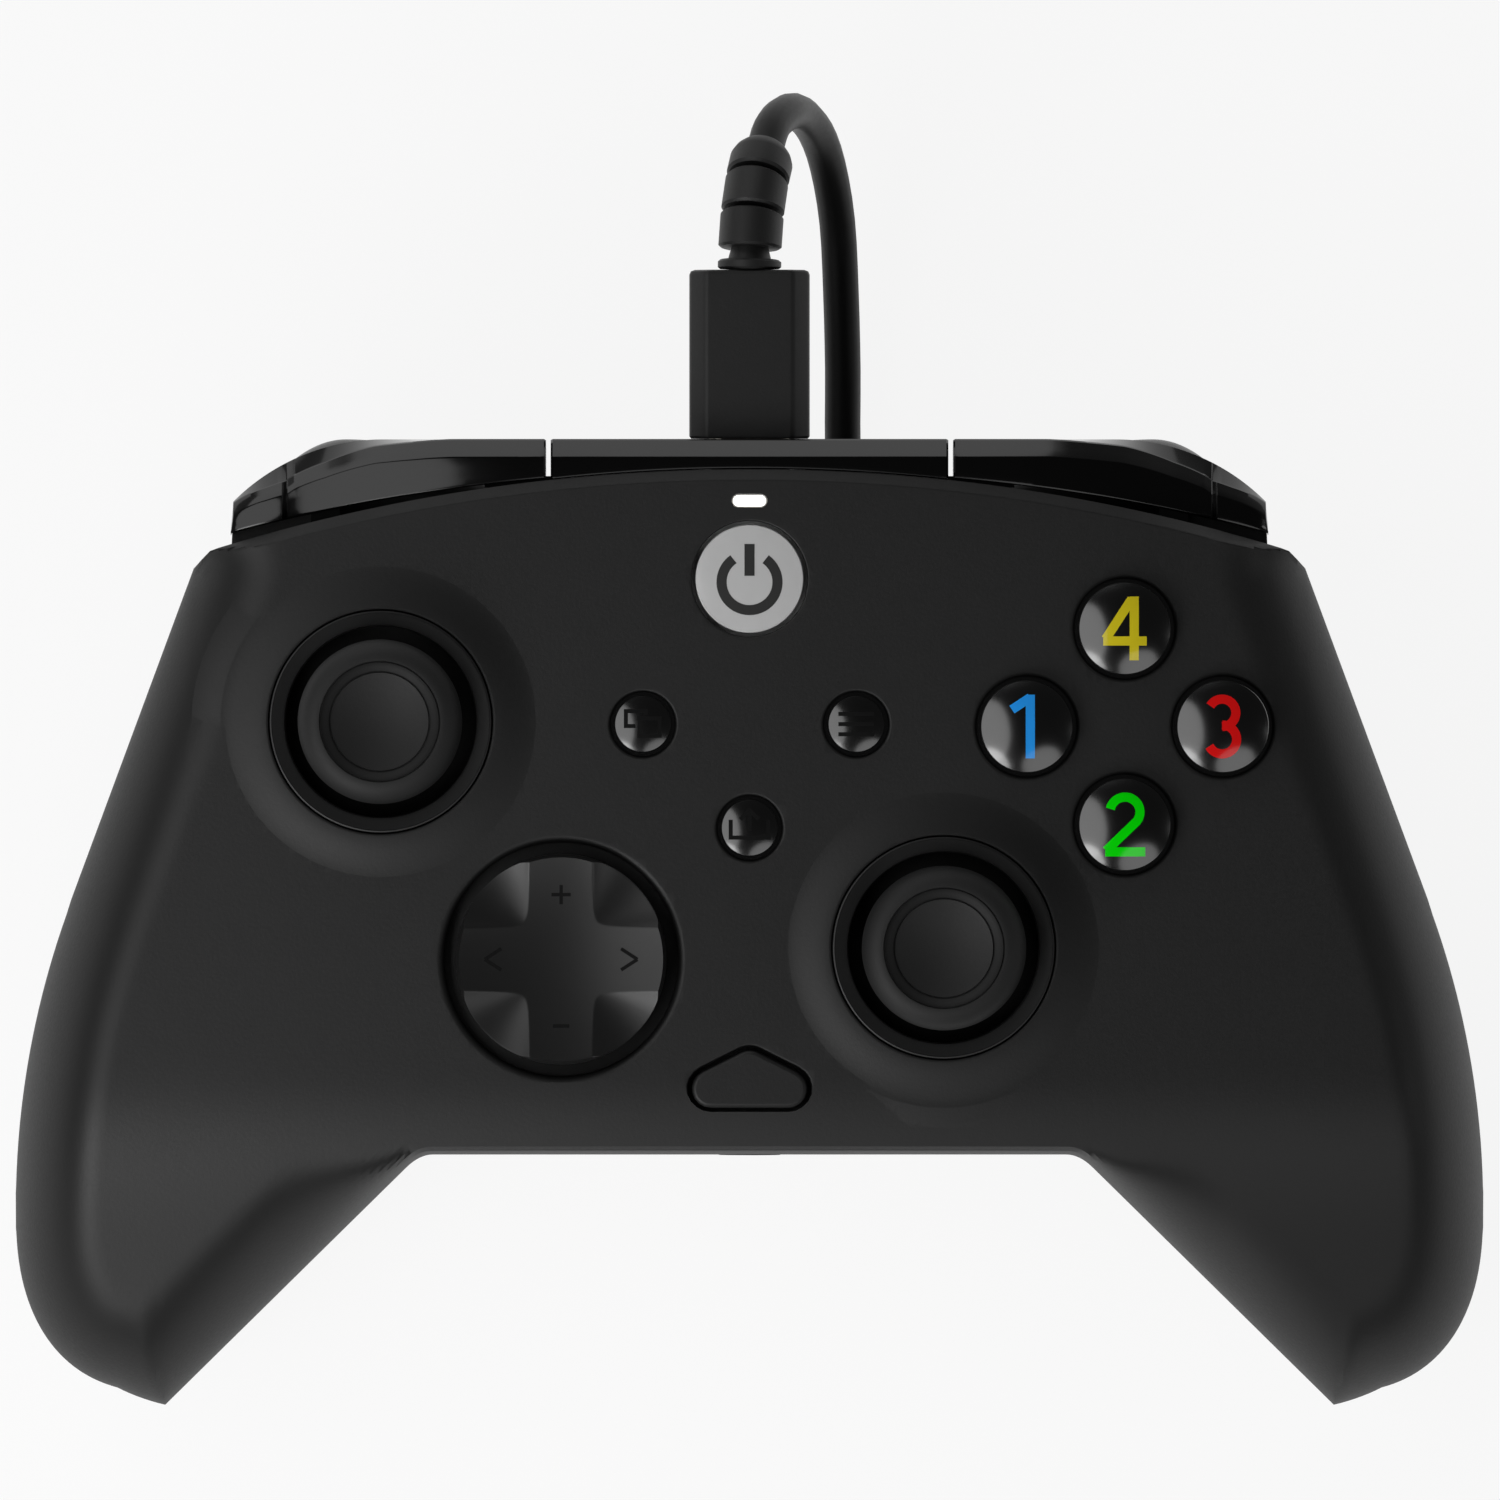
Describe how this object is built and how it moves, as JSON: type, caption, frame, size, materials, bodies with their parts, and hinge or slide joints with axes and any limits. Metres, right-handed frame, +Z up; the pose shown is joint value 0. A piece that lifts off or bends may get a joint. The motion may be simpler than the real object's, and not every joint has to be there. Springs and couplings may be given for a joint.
{
  "type": "wired gamepad",
  "caption": "Wired two-handed gamepad with offset thumbsticks, direction pad, coloured face buttons, bumpers, triggers and a plugged cable coiled beneath it.",
  "frame": {"origin": "on the table, under the middle of the housing's box", "axes": "+X to the player's right, +Y away from the player towards the cable, +Z up from the table"},
  "size_m": [0.153, 0.1368, 0.0556],
  "materials": {
    "matte_black_shell": "fine moulded texture",
    "gloss_black": "polished",
    "trigger_black": "fine moulded texture",
    "yellow_button": "polished, yellow number",
    "blue_button": "polished, blue number",
    "red_button": "polished, red number",
    "green_button": "polished, green number",
    "guide_grey": "satin",
    "light_white": "clear, lit",
    "stick_rubber": "soft touch",
    "steel": "plated",
    "frame_plastic": "plain",
    "board_green": "solder mask",
    "pad_rubber": "plain",
    "cord_black": "satin"
  },
  "bodies": {
    "housing": {"front_shell": "matte_black_shell", "rear_shell": "matte_black_shell", "bridge_cover": "gloss_black", "left_stick_ring": "gloss_black", "right_stick_ring": "gloss_black", "status_light_pipe": "light_white", "bumper_pins": "steel", "left_trigger_pin": "steel", "right_trigger_pin": "steel", "left_trigger_spring": "steel", "right_trigger_spring": "steel", "left_stick_housing": "steel", "right_stick_housing": "steel", "usb_socket": "steel", "left_rumble_motor": "steel", "right_rumble_motor": "steel", "case_screws": "steel", "board_screws": "steel", "plug_shell": "steel", "usb_a_shell": "steel", "left_trigger_frame": "frame_plastic", "right_trigger_frame": "frame_plastic", "headset_jack": "frame_plastic", "bumper_switches": "frame_plastic", "button_board": "board_green", "main_board": "board_green", "button_pads": "pad_rubber", "plug_overmould": "cord_black", "plug_strain_relief": "cord_black", "cable_lead": "cord_black", "cable_coil": "cord_black", "cable_tie": "cord_black", "cable_tail": "cord_black", "usb_a_overmould": "cord_black"},
    "button_top": {"button_top": "yellow_button"},
    "button_left": {"button_left": "blue_button"},
    "button_right": {"button_right": "red_button"},
    "button_bottom": {"button_bottom": "green_button"},
    "view_button": {"view_button": "gloss_black"},
    "menu_button": {"menu_button": "gloss_black"},
    "share_button": {"share_button": "gloss_black"},
    "guide_button": {"guide_button": "guide_grey"},
    "function_button": {"function_button": "matte_black_shell"},
    "dpad_plate": {"dpad_plate": "steel"},
    "dpad": {"dpad": "matte_black_shell"},
    "left_bumper": {"left_bumper": "gloss_black"},
    "right_bumper": {"right_bumper": "gloss_black"},
    "left_trigger": {"left_trigger": "trigger_black"},
    "right_trigger": {"right_trigger": "trigger_black"},
    "left_motor_weight": {"left_motor_weight": "steel"},
    "right_motor_weight": {"right_motor_weight": "steel"},
    "left_stick_yoke": {"left_stick_yoke": "frame_plastic"},
    "left_stick_stem": {"left_stick_stem": "steel"},
    "left_stick_cap": {"left_stick_cap": "stick_rubber"},
    "right_stick_yoke": {"right_stick_yoke": "frame_plastic"},
    "right_stick_stem": {"right_stick_stem": "steel"},
    "right_stick_cap": {"right_stick_cap": "stick_rubber"}
  },
  "joints": [
    {"name": "button_top_press", "type": "slide", "parent": "housing", "child": "button_top", "axis": [0, 0, -1], "range_m": [0, 0.0012], "stiffness_N_per_m": 300, "springref_m": -0.0005},
    {"name": "button_left_press", "type": "slide", "parent": "housing", "child": "button_left", "axis": [0, 0, -1], "range_m": [0, 0.0012], "stiffness_N_per_m": 300, "springref_m": -0.0005},
    {"name": "button_right_press", "type": "slide", "parent": "housing", "child": "button_right", "axis": [0, 0, -1], "range_m": [0, 0.0012], "stiffness_N_per_m": 300, "springref_m": -0.0005},
    {"name": "button_bottom_press", "type": "slide", "parent": "housing", "child": "button_bottom", "axis": [0, 0, -1], "range_m": [0, 0.0012], "stiffness_N_per_m": 300, "springref_m": -0.0005},
    {"name": "view_button_press", "type": "slide", "parent": "housing", "child": "view_button", "axis": [0, 0, -1], "range_m": [0, 0.0009], "stiffness_N_per_m": 300, "springref_m": -0.0005},
    {"name": "menu_button_press", "type": "slide", "parent": "housing", "child": "menu_button", "axis": [0, 0, -1], "range_m": [0, 0.0009], "stiffness_N_per_m": 300, "springref_m": -0.0005},
    {"name": "share_button_press", "type": "slide", "parent": "housing", "child": "share_button", "axis": [0, 0, -1], "range_m": [0, 0.0009], "stiffness_N_per_m": 300, "springref_m": -0.0005},
    {"name": "guide_button_press", "type": "slide", "parent": "housing", "child": "guide_button", "axis": [0, 0, -1], "range_m": [0, 0.0009], "stiffness_N_per_m": 300, "springref_m": -0.0005},
    {"name": "function_button_press", "type": "slide", "parent": "housing", "child": "function_button", "axis": [0, 0, -1], "range_m": [0, 0.0009], "stiffness_N_per_m": 300, "springref_m": -0.0005},
    {"name": "dpad_up_down", "type": "hinge", "parent": "housing", "child": "dpad_plate", "pos_m": [-0.0195, -0.0036, 0.041], "axis": [1, 0, 0], "range_deg": [-4, 4], "stiffness_Nm_per_rad": 0.03},
    {"name": "dpad_left_right", "type": "hinge", "parent": "dpad_plate", "child": "dpad", "pos_m": [-0.0195, -0.0036, 0.041], "axis": [0, 1, 0], "range_deg": [-4, 4], "stiffness_Nm_per_rad": 0.03},
    {"name": "left_stick_up_down", "type": "hinge", "parent": "housing", "child": "left_stick_yoke", "pos_m": [-0.0382, 0.021, 0.031], "axis": [1, 0, 0], "range_deg": [-12, 12], "stiffness_Nm_per_rad": 0.02},
    {"name": "left_stick_left_right", "type": "hinge", "parent": "left_stick_yoke", "child": "left_stick_stem", "pos_m": [-0.0382, 0.021, 0.031], "axis": [0, 1, 0], "range_deg": [-12, 12], "stiffness_Nm_per_rad": 0.02},
    {"name": "left_stick_click", "type": "slide", "parent": "left_stick_stem", "child": "left_stick_cap", "axis": [0, 0, -1], "range_m": [0, 0.0006], "stiffness_N_per_m": 2000, "springref_m": -0.0003},
    {"name": "right_stick_up_down", "type": "hinge", "parent": "housing", "child": "right_stick_yoke", "pos_m": [0.0201, -0.0024, 0.031], "axis": [1, 0, 0], "range_deg": [-12, 12], "stiffness_Nm_per_rad": 0.02},
    {"name": "right_stick_left_right", "type": "hinge", "parent": "right_stick_yoke", "child": "right_stick_stem", "pos_m": [0.0201, -0.0024, 0.031], "axis": [0, 1, 0], "range_deg": [-12, 12], "stiffness_Nm_per_rad": 0.02},
    {"name": "right_stick_click", "type": "slide", "parent": "right_stick_stem", "child": "right_stick_cap", "axis": [0, 0, -1], "range_m": [0, 0.0006], "stiffness_N_per_m": 2000, "springref_m": -0.0003},
    {"name": "left_bumper_press", "type": "hinge", "parent": "housing", "child": "left_bumper", "pos_m": [-0.0229, 0.0479, 0.043], "axis": [0, 0, 1], "range_deg": [0, 1.5], "stiffness_Nm_per_rad": 0.3, "springref_deg": -1.15},
    {"name": "left_trigger_pull", "type": "hinge", "parent": "housing", "child": "left_trigger", "pos_m": [-0.0363, 0.04, 0.0335], "axis": [-1, 0, 0], "range_deg": [0, 16], "stiffness_Nm_per_rad": 0.03, "springref_deg": -11.46},
    {"name": "left_motor_spin", "type": "hinge", "parent": "housing", "child": "left_motor_weight", "pos_m": [-0.055, -0.004, 0.015], "axis": [0, 1, 0], "continuous": true},
    {"name": "right_bumper_press", "type": "hinge", "parent": "housing", "child": "right_bumper", "pos_m": [0.0229, 0.0479, 0.043], "axis": [0, 0, -1], "range_deg": [0, 1.5], "stiffness_Nm_per_rad": 0.3, "springref_deg": -1.15},
    {"name": "right_trigger_pull", "type": "hinge", "parent": "housing", "child": "right_trigger", "pos_m": [0.0363, 0.04, 0.0335], "axis": [-1, 0, 0], "range_deg": [0, 16], "stiffness_Nm_per_rad": 0.03, "springref_deg": -11.46},
    {"name": "right_motor_spin", "type": "hinge", "parent": "housing", "child": "right_motor_weight", "pos_m": [0.055, -0.004, 0.015], "axis": [0, 1, 0], "continuous": true}
  ]
}
